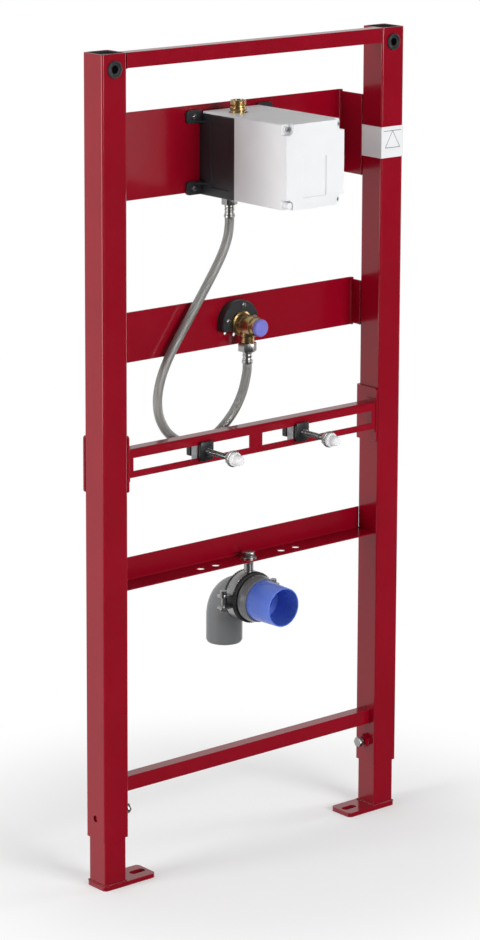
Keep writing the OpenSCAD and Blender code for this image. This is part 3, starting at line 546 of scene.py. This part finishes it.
def make_valve():
    low, high, mid = extent("valve_base")
    body_low, body_high, _ = extent("stop_valve")
    axis = Vector((mid.x, body_high.y, high.z - 31.5))
    bm = bmesh.new()
    length = body_high.y - body_low.y
    lathe(bm, [(0, 0), (17, 0), (17, 3), (14.4, 4.4), (13.5, 6), (13.5, 11), (12.9, 11.6), (12.9, 12.6), (13.5, 13.2),
               (13.5, length - 7), (12, length - 5.5), (12, length), (0, length)], axis, FRONT, radius=0.4)
    drop = axis.z - body_low.z
    lathe(bm, [(0, 0), (9.5, 0), (9.5, drop - 15), (10.4, drop - 13), (10.4, drop), (0, drop)],
          (mid.x, 33, body_low.z), UP, radius=0.4)
    finish_piece(bm, "brass_corner_valve", "brass", "frame", "stop_valve")

    cap_low, cap_high, cap = extent("valve_cap")
    bm = bmesh.new()
    lathe(bm, [(0, 0), (11, 0), (11.5, 1), (11.5, 5.6), (10.4, 7), (9.4, 7), (9, 6.6), (0, 6.6)],
          (cap.x, cap_high.y, cap.z), FRONT, radius=0.3)
    finish_piece(bm, "valve_grip_cap", "cap_plastic", "frame", "valve_cap")

    bm = bmesh.new()
    for x, z in ((axis.x + 4, axis.z + 24.5), (axis.x - 23, axis.z + 5), (axis.x + 23, axis.z + 5)):
        lathe(bm, [(0, -1), (4.2, -1), (4.2, 0.6), (3, 1.8), (0, 2.2)], (x, low.y, z), FRONT, steps=28)
    finish_piece(bm, "valve_base_screws", "zinc_steel", "frame")


def make_waste():
    low, high, mid = extent("clamp_rubber")
    centre = Vector((mid.x, mid.y, mid.z))
    bm = bmesh.new()
    lathe(bm, [(28.5, 0), (34, 0), (34, 4.7), (32.5, 4.7), (32.5, 19.3), (34, 19.3), (34, 24), (28.5, 24), (28.5, 0)],
          (mid.x, high.y, mid.z), FRONT, steps=72, radius=0.4)
    ribs = 60
    for k in range(ribs):
        turn = Matrix.Translation(centre) @ Matrix.Rotation(2 * math.pi * k / ribs, 4, "Y")
        for y in (-12, 7.5):
            block(bm, (-0.8, y, 33.2), (0.8, y + 4.5, 35), 0.35, turn)
    finish_piece(bm, "ribbed_clamp_rubber", "rubber", "frame", "clamp_rubber")

    low, high, mid = extent("waste_plug")
    bm = bmesh.new()
    lathe(bm, [(0, 0), (22, 0), (22, 19), (28, 19), (27.8, 22), (26.5, 64), (25, 64), (26, 22), (20.5, 18), (20.5, 3),
               (0, 3)], (mid.x, high.y, mid.z), FRONT, steps=96, radius=0.5)
    finish_piece(bm, "blue_socket_plug", "plug_plastic", "frame", "waste_plug")

    low, high, mid = extent("clamp_stud")
    shelf = high.z - 8.5
    bm = bmesh.new()
    lathe(bm, [(0, 0), (6.5, 0), (6.5, shelf - 1.5 - low.z), (4, shelf - 1.5 - low.z), (4, shelf - low.z),
               (11, shelf - low.z), (11, shelf + 1.4 - low.z), (8, shelf + 2 - low.z), (0, shelf + 2 - low.z)],
          (mid.x, mid.y, low.z), UP, radius=0.3)
    hexagon(bm, 15, 6.5, (mid.x, mid.y, shelf + 2), UP, chamfer=0.7)
    finish_piece(bm, "flanged_clamp_bolt", "zinc_steel", "frame", "clamp_stud")

    low, high, mid = extent("pipe_clamp")
    bm = bmesh.new()
    # Painted shade: dark crosses on the clamp screw heads stand in for the shade inside their recesses, which are not
    # cut.
    for x in (mid.x - 44.5, mid.x + 44.5):
        for wide, deep in ((5.5, 0.9), (0.9, 5.5)):
            block(bm, (x - wide / 2, mid.y - deep / 2, mid.z + 14.8), (x + wide / 2, mid.y + deep / 2, mid.z + 15.3), 0.1)
    finish_piece(bm, "clamp_screw_recess_painted_shade", "rubber", "frame")


def make_level_symbol():
    """Triangle that stands on its point on the level line, as drawn on the label."""
    low, high, _ = extent("level_mark")
    face, line_z = low.y, high.z - 6
    left, right, top = 226.8, 253.6, 946.7
    point = ((left + right) / 2, line_z)
    bm = bmesh.new()
    for (x0, z0), (x1, z1) in (((224, line_z), (256, line_z)), ((left, top), (right, top)),
                               ((left, top), point), ((right, top), point)):
        along = Vector((x1 - x0, 0, z1 - z0))
        place = Matrix.Translation(((x0 + x1) / 2, face, (z0 + z1) / 2)) @ Matrix.Rotation(
            -math.atan2(along.z, along.x), 4, "Y")
        block(bm, (-along.length / 2, -0.05, -0.35), (along.length / 2, 0.1, 0.35), 0.02, place)
    finish_piece(bm, "level_symbol", "rubber", "frame")


def make_welds():
    """Weld runs at the feet, the crossbars, the bracket, the panels and the bolt nuts."""
    for side, sign in (("left", -1), ("right", 1)):
        post, inner = 240 * sign, 220 * sign
        bm = bmesh.new()
        corners = [(post - 17.5, 2.5), (post + 17.5, 2.5), (post + 17.5, 37.5), (post - 17.5, 37.5)]
        for (x0, y0), (x1, y1) in zip(corners, corners[1:] + corners[:1]):
            weld(bm, (x0, y0, 6.2), (x1, y1, 6.2), 1.6)
        finish_piece(bm, side + "_foot_weld", "frame_paint", side + "_foot")
        bm = bmesh.new()
        for y0, y1, z0, z1 in ((1, 16, 1092, 1092), (12, 28, 126, 126), (12, 28, 146, 146),
                               (4, 37, 404, 404), (40, 40, 906, 1016), (40, 40, 696, 756)):
            weld(bm, (inner - 0.3 * sign, y0, z0), (inner - 0.3 * sign, y1, z1), 1.1)
        for k in range(6):
            a, b = math.radians(60 * k), math.radians(60 * k + 60)
            weld(bm, (inner, 20 + 9.8 * math.sin(a), 99 + 9.8 * math.cos(a)),
                 (inner, 20 + 9.8 * math.sin(b), 99 + 9.8 * math.cos(b)), 1.0)
        finish_piece(bm, side + "_post_welds", "frame_paint", "frame")


dress_cad_nodes()
make_hose()
hose_end("box_hose_end", "box_outlet", 19, 11)
hose_end("valve_hose_end", "valve_outlet", 22, 12)
for side in ("left", "right"):
    make_stud_set(side)
    make_foot_bolt(side)
make_box_details()
make_valve()
make_waste()
make_level_symbol()
make_welds()


# Floor, light and surroundings
def make_floor():
    bm = bmesh.new()
    bmesh.ops.create_grid(bm, x_segments=1, y_segments=1, size=6)
    bmesh.ops.translate(bm, vec=(0.26, 0, cad_low.z), verts=bm.verts)
    mesh = bpy.data.meshes.new("floor")
    bm.to_mesh(mesh)
    bm.free()
    floor = bpy.data.objects.new("floor", mesh)
    bpy.context.scene.collection.objects.link(floor)
    material = bpy.data.materials.new("pale_floor")
    material.use_nodes = True
    tree = material.node_tree
    tree.nodes.clear()
    place = tree.nodes.new("ShaderNodeTexCoord")
    shift = tree.nodes.new("ShaderNodeMapping")
    shift.inputs["Location"].default_value = (-0.26, 0, -cad_low.z)
    far = tree.nodes.new("ShaderNodeVectorMath")
    far.operation = "LENGTH"
    fade = tree.nodes.new("ShaderNodeMapRange")
    fade.interpolation_type = "SMOOTHSTEP"
    for key, value in (("From Min", 0.25), ("From Max", 0.6), ("To Min", 0.25), ("To Max", 1.0)):
        fade.inputs[key].default_value = value
    diffuse = tree.nodes.new("ShaderNodeBsdfDiffuse")
    diffuse.inputs["Color"].default_value = (0.88, 0.88, 0.88, 1)
    white = tree.nodes.new("ShaderNodeEmission")
    seen = tree.nodes.new("ShaderNodeLightPath")
    only = tree.nodes.new("ShaderNodeMath")
    only.operation = "MULTIPLY"
    mix = tree.nodes.new("ShaderNodeMixShader")
    out = tree.nodes.new("ShaderNodeOutputMaterial")
    tree.links.new(place.outputs["Object"], shift.inputs["Vector"])
    tree.links.new(shift.outputs["Vector"], far.inputs[0])
    tree.links.new(far.outputs["Value"], fade.inputs["Value"])
    tree.links.new(fade.outputs["Result"], only.inputs[0])
    tree.links.new(seen.outputs["Is Camera Ray"], only.inputs[1])
    tree.links.new(only.outputs["Value"], mix.inputs["Fac"])
    tree.links.new(diffuse.outputs["BSDF"], mix.inputs[1])
    tree.links.new(white.outputs["Emission"], mix.inputs[2])
    tree.links.new(mix.outputs["Shader"], out.inputs["Surface"])
    mesh.materials.append(material)
    floor.visible_glossy = False


def make_lamp(name, place, target, size, power):
    data = bpy.data.lights.new(name, "AREA")
    data.shape = "RECTANGLE"
    data.size, data.size_y = size
    data.energy = power
    lamp = bpy.data.objects.new(name, data)
    bpy.context.scene.collection.objects.link(lamp)
    spot, aim = model(*place), model(*target)
    lamp.matrix_world = Matrix.Translation(spot) @ (aim - spot).to_track_quat("-Z", "Y").to_matrix().to_4x4()
    lamp.visible_camera = False


def make_world():
    """White for the camera; for light and gloss pale behind the frame and dark before it."""
    world = bpy.data.worlds.new("studio")
    world.use_nodes = True
    tree = world.node_tree
    tree.nodes.clear()
    place = tree.nodes.new("ShaderNodeTexCoord")
    split = tree.nodes.new("ShaderNodeSeparateXYZ")
    depth = tree.nodes.new("ShaderNodeMapRange")
    depth.interpolation_type = "SMOOTHSTEP"
    for key, value in (("From Min", -0.35), ("From Max", 0.4), ("To Min", 0.06), ("To Max", 0.75)):
        depth.inputs[key].default_value = value
    light = tree.nodes.new("ShaderNodeBackground")
    seen = tree.nodes.new("ShaderNodeLightPath")
    white = tree.nodes.new("ShaderNodeBackground")
    light.inputs["Color"].default_value = white.inputs["Color"].default_value = (1, 1, 1, 1)
    mix = tree.nodes.new("ShaderNodeMixShader")
    out = tree.nodes.new("ShaderNodeOutputWorld")
    tree.links.new(place.outputs["Generated"], split.inputs["Vector"])
    tree.links.new(split.outputs["Y"], depth.inputs["Value"])
    tree.links.new(depth.outputs["Result"], light.inputs["Strength"])
    tree.links.new(seen.outputs["Is Camera Ray"], mix.inputs["Fac"])
    tree.links.new(light.outputs["Background"], mix.inputs[1])
    tree.links.new(white.outputs["Background"], mix.inputs[2])
    tree.links.new(mix.outputs["Shader"], out.inputs["Surface"])
    bpy.context.scene.world = world


make_floor()
make_world()
make_lamp("front", (300, -3600, 1500), (0, 0, 600), (1.8, 1.8), 112)
make_lamp("left", (-2600, 300, 1100), (0, 0, 600), (1.0, 2.2), 50)
make_lamp("strip", (2600, -700, 900), (0, 0, 500), (0.5, 2.4), 22)
bpy.context.scene.view_settings.view_transform = "Standard"
